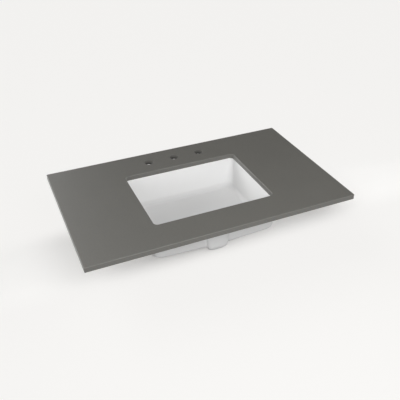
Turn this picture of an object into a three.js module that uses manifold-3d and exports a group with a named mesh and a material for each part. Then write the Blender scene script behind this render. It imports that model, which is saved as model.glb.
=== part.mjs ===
// A bathroom vanity top: a stone slab with a rectangular china basin hung under its cut-out.
// Millimetres, +Z up, +X along the length, -Y towards the user. The origin lies on the floor plane
// under the middle of the slab, and the foot of the basin's outlet stands on that plane.

import * as THREE from 'three';
import { mergeVertices } from 'three/addons/utils/BufferGeometryUtils.js';
import Module from 'manifold-3d';

const wasm = await Module();
wasm.setup();

// Stone slab
const topLength = 939.8;
const topDepth = 558.8;
const topThickness = 18;
const topCornerRadius = 2.5;
const edgeEase = 1.6;

// Cut-out for the basin. It takes the depth that its front margin and the deck for the taps leave
const cutoutLength = 431.8;
const cutoutFrontMargin = 111;
const tapDeckDepth = 131.8;
const cutoutDepth = topDepth - cutoutFrontMargin - tapDeckDepth;
const cutoutCornerRadius = 14;

// Tap holes, one for the spout and one for each handle
const tapHoleDiameter = 33;
const tapHoleSpacing = 101.6;
const tapHoleFromBack = 65.7;

// Sealant between the slab and the basin's flange
const beadThickness = 1.6;
const beadWidth = 22;
const beadSetback = 1;

// Basin's bowl, from the top face of its flange down; its mouth is flush with the cut-out
const bowlDepth = 121;
const lipRadius = 3;
const mouthCornerRadius = 20;
const wallLean = 8;
const wallCornerRadius = 32;
const bowlFootRadius = 18;
const bowlFootCornerRadius = 42;
const floorFallShare = 0.04;

// Basin's outside and flange
const wallThickness = 12;
const outsideLean = 1;
const outsideCornerRadius = 26;
const outsideFootRadius = 15;
const outsideFootCornerRadius = 34;
const floorThickness = 16;
const undersideFallShare = 0.08;
const flangeWidth = 32;
const flangeThickness = 11;
const flangeEdgeRadius = 2;
const flangeFootRadius = 7;

// Outlet for a waste fitting, under the middle of the bowl
const outletDiameter = 45;
const outletSeatDiameter = 66;
const outletSeatDepth = 3;
const outletHeight = 42;
const bossDiameter = 82;
const bossFootRadius = 6;
const bossEdge = 2;

// Overflow channel, cast on the outside of the front wall and under the floor
const channelWidth = 81;
const channelOutletWidth = 62;
const channelHeight = 16;
const channelRoot = 5;
const channelCrownShare = 0.7;
const passageWidth = 56;
const passageHeight = 8.5;
const passageOutletWidth = 34;
const passageTopBelowFlange = 20;
const overflowSlotLength = 40;
const overflowSlotHeight = 12;
const overflowSlotBelowRim = 34;

// Fixing clips under the slab, two in front of the basin and two behind it
const clipSpacing = 300;
const clipWidth = 20;
const clipStrip = 2.5;
const clipFromFillet = 1;
const clipReach = 27;
const clipBend = 2;
const clipSlotLength = 14;
const studFromFlange = 12;
const studDiameter = 6;
const studDrop = 36;
const studEngagement = 9;
const studChamfer = 0.8;
const insertDiameter = 9.5;
const insertLength = 11;
const insertRib = 0.5;
const washerDiameter = 14;
const washerThickness = 1.4;
const nutHeight = 7;
const nutBaseDiameter = 12;
const nutBaseShare = 0.35;
const nutTopDiameter = 9;
const wingSpan = 28;
const wingDrop = 6;
const wingTipRadius = 3;
const wingThickness = 2.4;

// Clearances, and how far a cutting tool runs past what it cuts
const threadClearance = 0.35;
const holeClearance = 0.3;
const seatGap = 0.3;
const overrun = 5;

// Facet counts
const cornerSteps = 6;
const sideSteps = 6;
const filletSteps = 5;
const easeSteps = 3;
const floorRings = 3;
const roundSides = 16;
const holeSides = 36;
const channelSides = 12;
const slotEndSteps = 8;
const bendSteps = 6;
const insertRibs = 2;

// Levels, from the foot of the outlet up
const bowlFloorLevel = outletHeight;
const flangeTop = bowlFloorLevel + bowlDepth;
const flangeUnder = flangeTop - flangeThickness;
const topUnder = flangeTop + beadThickness;
const topSurface = topUnder + topThickness;
const clipLevel = flangeUnder - seatGap;
const washerLevel = clipLevel - clipStrip - seatGap;
const nutLevel = washerLevel - washerThickness - seatGap;

// Plan places
const cutoutCentreY = -topDepth / 2 + cutoutFrontMargin + cutoutDepth / 2;
const tapHoleY = topDepth / 2 - tapHoleFromBack;
const mouthHalfLength = cutoutLength / 2;
const mouthHalfDepth = cutoutDepth / 2;
const quarterTurn = Math.PI / 2;

const stone = { color: 0x6a6964, roughness: 0.42, metalness: 0 };
const china = { color: 0xeeeeec, roughness: 0.12, metalness: 0 };
const silicone = { color: 0xf0f0ee, roughness: 0.45, metalness: 0 };
const brass = { color: 0xb99a55, roughness: 0.35, metalness: 1 };
const zincSteel = { color: 0xb9bcbe, roughness: 0.35, metalness: 1 };

const assembly = new THREE.Group();

// A named piece of the assembly
function addPiece(name, geometry, finish) {
  const mesh = new THREE.Mesh(geometry, new THREE.MeshStandardMaterial(finish));
  mesh.name = name;
  assembly.add(mesh);
}

// A closed mesh as a solid that can be joined and cut
function solidOf(geometry) {
  const bare = geometry.index ? geometry.toNonIndexed() : geometry.clone();
  bare.deleteAttribute('normal');
  bare.deleteAttribute('uv');
  const merged = mergeVertices(bare);
  return new wasm.Manifold(new wasm.Mesh({
    numProp: 3,
    vertProperties: new Float32Array(merged.attributes.position.array),
    triVerts: new Uint32Array(merged.index.array),
  }));
}

// The triangles of a solid
function geometryOf(solid) {
  const mesh = solid.getMesh();
  const geometry = new THREE.BufferGeometry();
  geometry.setAttribute('position', new THREE.BufferAttribute(new Float32Array(mesh.vertProperties), 3));
  geometry.setIndex(new THREE.BufferAttribute(new Uint32Array(mesh.triVerts), 1));
  geometry.computeVertexNormals();
  return geometry;
}

// Plan outline of a rectangle with round corners, anticlockwise from its right side's back end, with the
// same point count at any size
function roundedRectangle(halfLength, halfDepth, radius, straightSteps = sideSteps) {
  const points = [];
  const corners = [[1, 1], [-1, 1], [-1, -1], [1, -1]];
  const arcs = corners.map(([signX, signY], corner) => {
    const centre = new THREE.Vector2(signX * (halfLength - radius), signY * (halfDepth - radius));
    return Array.from({ length: cornerSteps + 1 }, (_, step) => {
      const angle = (corner + step / cornerSteps) * quarterTurn;
      return new THREE.Vector2(Math.cos(angle), Math.sin(angle)).multiplyScalar(radius).add(centre);
    });
  });
  arcs.forEach((arc, corner) => {
    const nextStart = arcs[(corner + 1) % arcs.length][0];
    points.push(...arc);
    for (let step = 1; step < straightSteps; step++) {
      points.push(arc[cornerSteps].clone().lerp(nextStart, step / straightSteps));
    }
  });
  return points;
}

// A closed surface through rings of equal point count: the rings either come back to the first one
// or are closed by a fan at each end
function loft(rings, comesBack) {
  const sides = rings[0].length;
  const positions = rings.flat().flatMap((point) => [point.x, point.y, point.z]);
  const indices = [];
  const spans = comesBack ? rings.length : rings.length - 1;
  for (let ring = 0; ring < spans; ring++) {
    const near = ring * sides;
    const far = ((ring + 1) % rings.length) * sides;
    for (let side = 0; side < sides; side++) {
      const next = (side + 1) % sides;
      indices.push(near + side, near + next, far + next);
      indices.push(near + side, far + next, far + side);
    }
  }
  if (!comesBack) {
    const last = (rings.length - 1) * sides;
    for (let side = 1; side < sides - 1; side++) {
      indices.push(0, side + 1, side);
      indices.push(last, last + side, last + side + 1);
    }
  }
  const geometry = new THREE.BufferGeometry();
  geometry.setAttribute('position', new THREE.Float32BufferAttribute(positions, 3));
  geometry.setIndex(indices);
  return geometry;
}

// A ring of a rounded rectangle at one level
function levelRing(halfLength, halfDepth, radius, level, straightSteps) {
  return roundedRectangle(halfLength, halfDepth, radius, straightSteps)
    .map((point) => new THREE.Vector3(point.x, point.y, level));
}

// Rounded rectangle prism up to the slab's eased top edge: growth is -1 on a block and 1 on a cutter
function easedPrism(halfLength, halfDepth, radius, bottom, growth) {
  const rings = [levelRing(halfLength, halfDepth, radius, bottom, 1)];
  for (let step = 0; step <= easeSteps; step++) {
    const angle = (step / easeSteps) * quarterTurn;
    const side = growth * edgeEase * (1 - Math.cos(angle));
    const level = topSurface - edgeEase * (1 - Math.sin(angle));
    rings.push(levelRing(halfLength + side, halfDepth + side, radius + side, level, 1));
  }
  return rings;
}

// A body of revolution about a vertical axis, from outline points of radius and height
function revolved(outline, x, y, sides = roundSides) {
  const points = outline.map(([radius, height]) => new THREE.Vector2(radius, height));
  const geometry = new THREE.LatheGeometry(points, sides);
  geometry.rotateX(quarterTurn);
  geometry.translate(x, y, 0);
  return geometry;
}

// A flat outline given a thickness, from z = 0 up
function extruded(shape, depth, curveSegments) {
  return new THREE.ExtrudeGeometry(shape, { depth, curveSegments, bevelEnabled: false });
}

// Slab: an eased block, less the cut-out, the tap holes and the blind holes for the inserts
function stoneTop() {
  const block = easedPrism(topLength / 2, topDepth / 2, topCornerRadius, topUnder, -1);
  let slab = solidOf(loft(block, false)).subtract(solidOf(cutoutTool()));
  for (const side of [-1, 0, 1]) {
    slab = slab.subtract(solidOf(tapHoleTool(side * tapHoleSpacing)));
  }
  for (const place of clipPlaces()) {
    slab = slab.subtract(solidOf(insertHoleTool(place)));
  }
  return geometryOf(slab);
}

function cutoutTool() {
  const rings = easedPrism(cutoutLength / 2, cutoutDepth / 2, cutoutCornerRadius, topUnder - overrun, 1);
  rings.push(rings[rings.length - 1].map((point) => point.clone().setZ(topSurface + overrun)));
  const geometry = loft(rings, false);
  geometry.translate(0, cutoutCentreY, 0);
  return geometry;
}

function tapHoleTool(x) {
  const radius = tapHoleDiameter / 2;
  const outline = [[0, topUnder - overrun], [radius, topUnder - overrun]];
  for (let step = 0; step <= easeSteps; step++) {
    const angle = (step / easeSteps) * quarterTurn;
    const growth = edgeEase * (1 - Math.cos(angle));
    outline.push([radius + growth, topSurface - edgeEase * (1 - Math.sin(angle))]);
  }
  outline.push([radius + edgeEase, topSurface + overrun], [0, topSurface + overrun]);
  return revolved(outline, x, tapHoleY, holeSides);
}

function insertHoleTool(place) {
  const radius = insertDiameter / 2 + holeClearance;
  const depth = insertLength + holeClearance;
  const outline = [[0, topUnder - overrun], [radius, topUnder - overrun],
    [radius, topUnder + depth], [0, topUnder + depth]];
  return revolved(outline, place.x, place.studY);
}

// Where the four clips go, and which way each one faces out from the basin
function clipPlaces() {
  const flangeHalfDepth = mouthHalfDepth + flangeWidth;
  const places = [];
  for (const [end, out] of [['front', -1], ['back', 1]]) {
    for (const [hand, side] of [['left', -1], ['right', 1]]) {
      const edgeY = cutoutCentreY + out * flangeHalfDepth;
      const x = side * clipSpacing / 2;
      places.push({ name: `${end}_${hand}`, x, out, edgeY, studY: edgeY + out * studFromFlange });
    }
  }
  return places;
}

// How far a plan point lies out from the seat of the outlet
function beyondOutlet(point) {
  return Math.max(Math.hypot(point.x, point.y) - outletSeatDiameter / 2, 0);
}

// The two faces of the bowl's wall and floor. Each floor is a shallow cone that falls to the outlet
const innerFace = {
  offset: 0,
  lean: wallLean,
  mouthCorner: mouthCornerRadius,
  wallCorner: wallCornerRadius,
  footRadius: bowlFootRadius,
  footCorner: bowlFootCornerRadius,
  floorAt: (point) => bowlFloorLevel + floorFallShare * beyondOutlet(point),
};
const outerFace = {
  offset: wallThickness,
  lean: outsideLean,
  mouthCorner: mouthCornerRadius + wallThickness,
  wallCorner: outsideCornerRadius,
  footRadius: outsideFootRadius,
  footCorner: outsideFootCornerRadius,
  floorAt: (point) => bowlFloorLevel - floorThickness + undersideFallShare * beyondOutlet(point),
};

// A face's wall and the fillet at its foot as rings, from a given level down
function wallRings(face, topLevel) {
  const rings = [];
  const outline = (inset, cornerRadius) => roundedRectangle(
    mouthHalfLength + face.offset - inset, mouthHalfDepth + face.offset - inset, cornerRadius);
  const wallFoot = outline(face.lean, face.wallCorner);
  rings.push(outline(0, face.mouthCorner).map((point) => new THREE.Vector3(point.x, point.y, topLevel)));
  for (let step = 0; step <= filletSteps; step++) {
    const angle = (step / filletSteps) * quarterTurn;
    const inwardShare = step / filletSteps;
    const inset = face.lean + face.footRadius * (1 - Math.cos(angle));
    const rounding = THREE.MathUtils.lerp(face.wallCorner, face.footCorner, inwardShare);
    rings.push(outline(inset, rounding).map((point, index) => {
      const floor = THREE.MathUtils.lerp(face.floorAt(wallFoot[index]), face.floorAt(point), inwardShare);
      return new THREE.Vector3(point.x, point.y, floor + face.footRadius * (1 - Math.sin(angle)));
    }));
  }
  return rings;
}

// Where a ring's point lies on a circle round the outlet. The points stand evenly, and the middle of
// each corner and each side of the bowl keeps its direction
function onOutletCircle(index, radius) {
  const quarterPoints = cornerSteps + sideSteps;
  const angle = (1 / 2 + (index - cornerSteps / 2) / quarterPoints) * quarterTurn;
  return new THREE.Vector2(Math.cos(angle), Math.sin(angle)).multiplyScalar(radius);
}

// Rings along a face's floor, from the last ring of its fillet in to a circle round the outlet
function floorRingsTo(face, from, radius) {
  const rings = [];
  for (let ring = 1; ring <= floorRings; ring++) {
    rings.push(from.map((point, index) => {
      const place = new THREE.Vector2(point.x, point.y)
        .lerp(onOutletCircle(index, radius), ring / floorRings);
      return new THREE.Vector3(place.x, place.y, face.floorAt(place));
    }));
  }
  return rings;
}

// A circle round the outlet at one level, with the same point count as the bowl's rings
function outletRing(radius, level) {
  const count = 4 * (cornerSteps + sideSteps);
  return Array.from({ length: count }, (_, index) => {
    const place = onOutletCircle(index, radius);
    return new THREE.Vector3(place.x, place.y, level);
  });
}

// The basin's shell as one closed run of rings: over the flange, down the bowl, through the outlet,
// round its boss, and back up the outside to the flange
function basinShell() {
  const lip = [];
  for (let step = 0; step < easeSteps; step++) {
    const angle = (step / easeSteps) * quarterTurn;
    lip.push(flangeRing(lipRadius * (1 - Math.sin(angle)), flangeTop - lipRadius * (1 - Math.cos(angle))));
  }
  const inside = wallRings(innerFace, flangeTop - lipRadius);
  const insideFoot = inside[inside.length - 1];
  const insideFloor = floorRingsTo(innerFace, insideFoot, outletSeatDiameter / 2);
  const seatLevel = bowlFloorLevel - outletSeatDepth;
  const outlet = [
    outletRing(outletSeatDiameter / 2 - outletSeatDepth, seatLevel),
    outletRing(outletDiameter / 2, seatLevel),
    outletRing(outletDiameter / 2, 0),
    outletRing(bossDiameter / 2 - bossEdge, 0),
    outletRing(bossDiameter / 2, bossEdge),
    outletRing(bossDiameter / 2, bowlFloorLevel - floorThickness - bossFootRadius),
  ];
  const outside = wallRings(outerFace, flangeUnder - flangeFootRadius);
  const outsideFoot = outside[outside.length - 1];
  const outsideFloor = floorRingsTo(outerFace, outsideFoot, bossDiameter / 2 + bossFootRadius);
  const flange = [];
  for (let step = 1; step <= easeSteps; step++) {
    const angle = (step / easeSteps) * quarterTurn;
    flange.push(flangeRing(wallThickness + flangeFootRadius * (1 - Math.cos(angle)),
      flangeUnder - flangeFootRadius * (1 - Math.sin(angle))));
  }
  flange.push(flangeRing(flangeWidth - flangeEdgeRadius, flangeUnder));
  flange.push(flangeRing(flangeWidth, flangeUnder + flangeEdgeRadius));
  flange.push(flangeRing(flangeWidth, flangeTop - flangeEdgeRadius));
  flange.push(flangeRing(flangeWidth - flangeEdgeRadius, flangeTop));
  return loft([...lip, ...inside, ...insideFloor, ...outlet,
    ...outsideFloor.reverse(), ...outside.reverse(), ...flange], true);
}

// A ring round the bowl's mouth, a given way out from its edge
function flangeRing(out, level) {
  return levelRing(mouthHalfLength + out, mouthHalfDepth + out, mouthCornerRadius + out, level);
}

// The line on the outside of the basin that the overflow channel follows, in the plane x = 0: down the
// front wall, round its foot and in under the floor, as points of y and height
function channelLine(startLevel, endY) {
  const sidePoints = cornerSteps + sideSteps;
  const frontMiddle = 2 * sidePoints + cornerSteps + sideSteps / 2;
  const line = wallRings(outerFace, startLevel)
    .map((ring) => new THREE.Vector2(ring[frontMiddle].y, ring[frontMiddle].z));
  return [...line, new THREE.Vector2(endY, outerFace.floorAt(new THREE.Vector2(0, endY)))];
}

// A domed section swept along that line: it is a superellipse across X that stands out along the line's
// normal, narrows towards the outlet and reaches back into the wall by its root
function sweptDome(line, startWidth, endWidth, height, root) {
  const rings = line.map((place, index) => {
    const before = line[Math.max(index - 1, 0)];
    const after = line[Math.min(index + 1, line.length - 1)];
    const run = after.clone().sub(before).normalize();
    const out = new THREE.Vector2(run.y, -run.x);
    const halfWidth = (startWidth + (endWidth - startWidth) * (index / (line.length - 1))) / 2;
    const section = [[halfWidth, -root]];
    for (let side = 0; side <= channelSides; side++) {
      const angle = (side / channelSides) * Math.PI;
      const across = Math.sign(Math.cos(angle)) * Math.abs(Math.cos(angle)) ** channelCrownShare;
      section.push([halfWidth * across, height * Math.sin(angle) ** channelCrownShare]);
    }
    section.push([-halfWidth, -root]);
    return section.map(([across, rise]) => new THREE.Vector3(
      across, place.x + out.x * rise, place.y + out.y * rise));
  });
  return loft(rings, false);
}

// An upright slot with round ends, cut along Y between two places
function overflowSlotTool() {
  const half = overflowSlotHeight / 2;
  const reach = overflowSlotLength / 2 - half;
  const shape = new THREE.Shape();
  shape.absarc(reach, 0, half, -quarterTurn, quarterTurn);
  shape.absarc(-reach, 0, half, quarterTurn, 3 * quarterTurn);
  const inner = -mouthHalfDepth + wallLean + overrun;
  const outer = -mouthHalfDepth - wallThickness - passageHeight / 2;
  const geometry = extruded(shape, inner - outer, slotEndSteps);
  geometry.rotateX(quarterTurn);
  geometry.translate(0, inner, flangeTop - overflowSlotBelowRim);
  return geometry;
}

// Basin: the shell with the overflow channel joined to its front, and the channel's passage cut from
// the slot under the rim to the bore of the outlet
function basin() {
  const domeLine = channelLine(flangeUnder + flangeThickness / 2, -(outletDiameter / 2 + channelRoot));
  const passageLine = channelLine(flangeTop - passageTopBelowFlange, -(outletDiameter / 2 - overrun));
  const dome = sweptDome(domeLine, channelWidth, channelOutletWidth, channelHeight, channelRoot);
  const passage = sweptDome(passageLine, passageWidth, passageOutletWidth, passageHeight, 0);
  const solid = solidOf(basinShell())
    .add(solidOf(dome))
    .subtract(solidOf(passage))
    .subtract(solidOf(overflowSlotTool()));
  const geometry = geometryOf(solid);
  geometry.translate(0, cutoutCentreY, 0);
  return geometry;
}

// Sealant: a flat ring between the flange and the slab, set back a little from the cut-out's edge
function sealantBead() {
  const beadRing = (out, level) => levelRing(
    cutoutLength / 2 + out, cutoutDepth / 2 + out, cutoutCornerRadius + out, level);
  const geometry = loft([
    beadRing(beadSetback, topUnder),
    beadRing(beadSetback, flangeTop),
    beadRing(beadSetback + beadWidth, flangeTop),
    beadRing(beadSetback + beadWidth, topUnder),
  ], true);
  geometry.translate(0, cutoutCentreY, 0);
  return geometry;
}

// Insert: a ribbed sleeve bonded in its blind hole, open at both ends
function insert(place) {
  const outer = insertDiameter / 2;
  const inner = studDiameter / 2 + threadClearance;
  const pitch = insertLength / (2 * insertRibs + 1);
  const outline = [[inner, topUnder + insertLength], [inner, topUnder], [outer, topUnder]];
  for (let rib = 0; rib < insertRibs; rib++) {
    const level = topUnder + pitch * (2 * rib + 1);
    outline.push([outer, level], [outer - insertRib, level + insertRib]);
    outline.push([outer - insertRib, level + pitch - insertRib], [outer, level + pitch]);
  }
  outline.push([outer, topUnder + insertLength], [inner, topUnder + insertLength]);
  return revolved(outline, place.x, place.studY);
}

// Stud: a rod with chamfered ends, up in the insert and down past the nut
function stud(place) {
  const radius = studDiameter / 2;
  const bottom = topUnder - studDrop;
  const top = topUnder + studEngagement;
  return revolved([[0, bottom], [radius - studChamfer, bottom], [radius, bottom + studChamfer],
    [radius, top - studChamfer], [radius - studChamfer, top], [0, top]], place.x, place.studY);
}

// Clip: a bent strip whose bar grips the flat of the flange from below and whose leg bears on the slab.
// Its outline is drawn across the strip, in (Y, Z)
function clip(place) {
  const shape = new THREE.Shape();
  const at = (out) => place.edgeY + place.out * out;
  const grip = flangeWidth - wallThickness - flangeFootRadius - clipFromFillet;
  const clipUnder = clipLevel - clipStrip;
  const legTop = topUnder - seatGap;
  shape.moveTo(at(-grip), clipLevel);
  shape.lineTo(at(-grip), clipUnder);
  shape.lineTo(at(clipReach - clipBend), clipUnder);
  shape.quadraticCurveTo(at(clipReach), clipUnder, at(clipReach), clipUnder + clipBend);
  shape.lineTo(at(clipReach), legTop);
  shape.lineTo(at(clipReach - clipStrip), legTop);
  shape.lineTo(at(clipReach - clipStrip), clipLevel);
  const geometry = extruded(shape, clipWidth, bendSteps);
  geometry.rotateX(quarterTurn);
  geometry.rotateZ(quarterTurn);
  geometry.translate(place.x - clipWidth / 2, 0, 0);
  return geometryOf(solidOf(geometry).subtract(solidOf(clipSlotTool(place))));
}

// The slot in a clip's bar, long across the flange's edge so that the clip can be set
function clipSlotTool(place) {
  const half = studDiameter / 2 + threadClearance;
  const reach = clipSlotLength / 2 - half;
  const shape = new THREE.Shape();
  shape.absarc(0, reach, half, 0, Math.PI);
  shape.absarc(0, -reach, half, Math.PI, 2 * Math.PI);
  const geometry = extruded(shape, clipStrip + 2 * overrun, slotEndSteps);
  geometry.translate(place.x, place.studY, clipLevel - clipStrip - overrun);
  return geometry;
}

function washer(place) {
  const inner = studDiameter / 2 + threadClearance;
  const outer = washerDiameter / 2;
  const bottom = washerLevel - washerThickness;
  return revolved([[inner, washerLevel], [inner, bottom], [outer, bottom], [outer, washerLevel],
    [inner, washerLevel]], place.x, place.studY);
}

// Wing nut: a tapered hub, wide end up against the washer, with two wings that hang outwards
function wingNut(place) {
  const inner = studDiameter / 2 + threadClearance;
  const bottom = nutLevel - nutHeight;
  const baseUnder = nutLevel - nutHeight * nutBaseShare;
  const hub = revolved([[inner, nutLevel], [inner, bottom], [nutTopDiameter / 2, bottom],
    [nutBaseDiameter / 2, baseUnder], [nutBaseDiameter / 2, nutLevel], [inner, nutLevel]],
  place.x, place.studY);
  let solid = solidOf(hub);
  for (const side of [-1, 1]) {
    solid = solid.add(solidOf(wing(place, side)));
  }
  return geometryOf(solid);
}

// One wing: a plate from the middle of the hub's wall, out and down to a round tip below the hub
function wing(place, side) {
  const boreRadius = studDiameter / 2 + threadClearance;
  const root = (boreRadius + nutTopDiameter / 2) / 2;
  const tip = wingSpan / 2;
  const high = nutLevel - nutHeight * nutBaseShare;
  const low = nutLevel - nutHeight - wingDrop;
  const shape = new THREE.Shape();
  const at = (out) => side * out;
  shape.moveTo(at(root), high);
  shape.lineTo(at(nutBaseDiameter / 2), high);
  shape.quadraticCurveTo(at(tip), high, at(tip), low + wingTipRadius);
  shape.quadraticCurveTo(at(tip), low, at(tip - wingTipRadius), low);
  shape.quadraticCurveTo(at(nutBaseDiameter / 2), low, at(root), nutLevel - nutHeight + wingTipRadius / 2);
  const geometry = extruded(shape, wingThickness, bendSteps);
  geometry.rotateX(quarterTurn);
  geometry.translate(place.x, place.studY + wingThickness / 2, 0);
  return geometry;
}

addPiece('stone_top', stoneTop(), stone);
addPiece('basin', basin(), china);
addPiece('sealant_bead', sealantBead(), silicone);
for (const place of clipPlaces()) {
  addPiece(`insert_${place.name}`, insert(place), brass);
  addPiece(`stud_${place.name}`, stud(place), zincSteel);
  addPiece(`clip_${place.name}`, clip(place), zincSteel);
  addPiece(`washer_${place.name}`, washer(place), zincSteel);
  addPiece(`wing_nut_${place.name}`, wingNut(place), zincSteel);
}

export default assembly;
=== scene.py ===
"""A bathroom vanity top: a honed stone slab with a china basin hung under its cut-out by four clips.

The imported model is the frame. Each operator replaces nodes of it by a finer surface, worked out with numpy
as a function on a grid, in metres and in the frame's own axes: +X along the slab, +Y towards the wall.
"""

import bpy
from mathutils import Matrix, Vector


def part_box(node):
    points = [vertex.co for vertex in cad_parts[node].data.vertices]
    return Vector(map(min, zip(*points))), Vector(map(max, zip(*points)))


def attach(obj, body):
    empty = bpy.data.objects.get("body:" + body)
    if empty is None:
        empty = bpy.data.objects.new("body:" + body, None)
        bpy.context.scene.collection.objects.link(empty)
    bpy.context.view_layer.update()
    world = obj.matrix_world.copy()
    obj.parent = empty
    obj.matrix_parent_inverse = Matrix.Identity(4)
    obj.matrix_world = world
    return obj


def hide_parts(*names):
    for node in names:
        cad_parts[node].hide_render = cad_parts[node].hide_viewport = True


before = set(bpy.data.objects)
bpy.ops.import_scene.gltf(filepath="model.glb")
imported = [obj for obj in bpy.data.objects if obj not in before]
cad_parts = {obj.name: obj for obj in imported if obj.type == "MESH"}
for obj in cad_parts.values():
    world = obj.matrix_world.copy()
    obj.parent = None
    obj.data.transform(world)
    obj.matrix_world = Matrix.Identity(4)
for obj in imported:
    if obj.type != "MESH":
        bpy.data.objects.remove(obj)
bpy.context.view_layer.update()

import math

import bmesh
import bpy
import numpy as np
from mathutils import Matrix, Vector
from mathutils.geometry import delaunay_2d_cdt

bl_info = {
    "name": "Vanity Top with Undermount Basin",
    "version": (1, 0, 0),
    "blender": (4, 5, 0),
    "location": "3D View > Sidebar > Vanity Top",
    "description": "Makes a stone vanity top, its china basin, the fixings under it and a plain studio",
    "category": "Add Mesh",
}

BODY = "root"
CLIP_PLACES = ("front_left", "front_right", "back_left", "back_right")

# Boxes of the solids that set the places of the finer pieces
STONE_LOW, STONE_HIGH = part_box("stone_top")
BASIN_LOW, BASIN_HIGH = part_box("basin")
BEAD_LOW, BEAD_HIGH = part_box("sealant_bead")

QUARTER = math.pi / 2
FULL_TURN = 2 * math.pi
WELD_DISTANCE = 1e-6

# How finely the surfaces are divided
CORNER_STEPS = 16
SIDE_STEPS = 24
FRONT_STEPS = 12
SLAB_CORNER_STEPS = 6
CUTOUT_CORNER_STEPS = 14
EASE_STEPS = 7
WALL_STEPS = 16
FOOT_STEPS = 16
FLOOR_STEPS = 18
EDGE_STEPS = 5
ROOT_STEPS = 6
DOME_STEPS = 34
ROUND_STEPS = 64
HOLE_STEPS = 72
THREAD_STEPS = 24
THREAD_ROWS = 8
CORNER_ROUNDING_STEPS = 4
BEND_STEPS = 8
WING_STEPS = 20
WING_SIDES = 24
SHARP_ANGLE = math.radians(32)

# How blunt a wing's section is, and the share of a wing that the rounding of its tip takes
WING_POWER = 0.6
WING_TIP_SHARE = 1 / 4

# The share of a profile's side that the rounding of one of its corners may take
ROUNDING_SHARE = 1 / 3

# Where the painted shade on a tap hole's wall ends, as the square of its share of the hole's radius
TAP_RIM_SHARE = 1.05

# Shares of the slab's depth, from the top down, at which the painted shade on that wall is full and at which
# it starts
HOLE_SHADE_SHARES = (0.85, 0.3)

# Shares of the upper edges' ease, from the top down, between which the painted highlight on it is full
EDGE_HIGHLIGHT_SHARES = (0.8, 0.15)

# Shares of the bowl's foot radius, from the floor up, between which the painted shade is full, and at which
# it ends; and shares of the mouth's half depth between which it comes in towards the back
FOOT_SHADE_SHARES = (0.2, 0.4, 1.2)
FOOT_SHADE_BACK_SHARES = (0.5, 0.85)

# Heights above the outlet's foot between which bare clay gives way to glaze
BARE_CLAY = (0.0006, 0.0016)

# Sockets of a Mix node that mixes colours, which share their names with others
MIX_FIRST = 6
MIX_SECOND = 7
MIX_RESULT = 2

# Waves of each set of knurling lines, round an insert and along it
KNURLS_ROUND = 8
KNURLS_UP = 3


def number(name, description, default, **settings):
    """A number that a user can set."""
    return bpy.props.FloatProperty(name=name, description=description, default=default, **settings)


def length(name, description, default):
    """A length in metres that a user can set."""
    return number(name, description, default, min=0, precision=4, unit="LENGTH")


def share(name, description, default):
    """A share or a slope that a user can set."""
    return number(name, description, default, min=0, max=1, precision=3, subtype="FACTOR")


def angle(name, description, degrees):
    """An angle that a user can set."""
    return number(name, description, math.radians(degrees), precision=2, subtype="ANGLE")


def strength(name, description, default):
    """A lamp's strength that a user can set: watts for a softbox, watts a square metre for a far lamp."""
    return number(name, description, default, min=0, precision=2)


def colour(name, description, default):
    """A linear colour that a user can set."""
    return bpy.props.FloatVectorProperty(name=name, description=description, default=default, size=3,
                                         min=0, max=1, subtype="COLOR")


class VanityStoneSizes(bpy.types.PropertyGroup):
    """Sizes of the slab that its solid's box doesn't give."""
    edge_ease: length("Edge Ease", "Radius of the upper edges, round the cut-out too", 0.0016)
    arris: length("Lower Arris", "Radius of the lower edges", 0.0005)
    tap_arris: length("Tap Hole Arris", "Radius of the tap holes' edges", 0.0003)
    corner: length("Corner Radius", "Radius of the slab's upright corners", 0.0025)
    cutout_corner: length("Cut-out Corner", "Radius of the cut-out's upright corners", 0.014)
    tap_diameter: length("Tap Hole", "Diameter of each tap hole", 0.033)
    tap_spacing: length("Tap Spacing", "Distance between the tap holes' axes", 0.1016)
    tap_from_back: length("Tap Setback", "Distance from the back edge to the tap holes' axes", 0.0657)
    insert_clearance: length("Insert Clearance", "Room round an insert in its blind hole", 0.0003)


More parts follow.
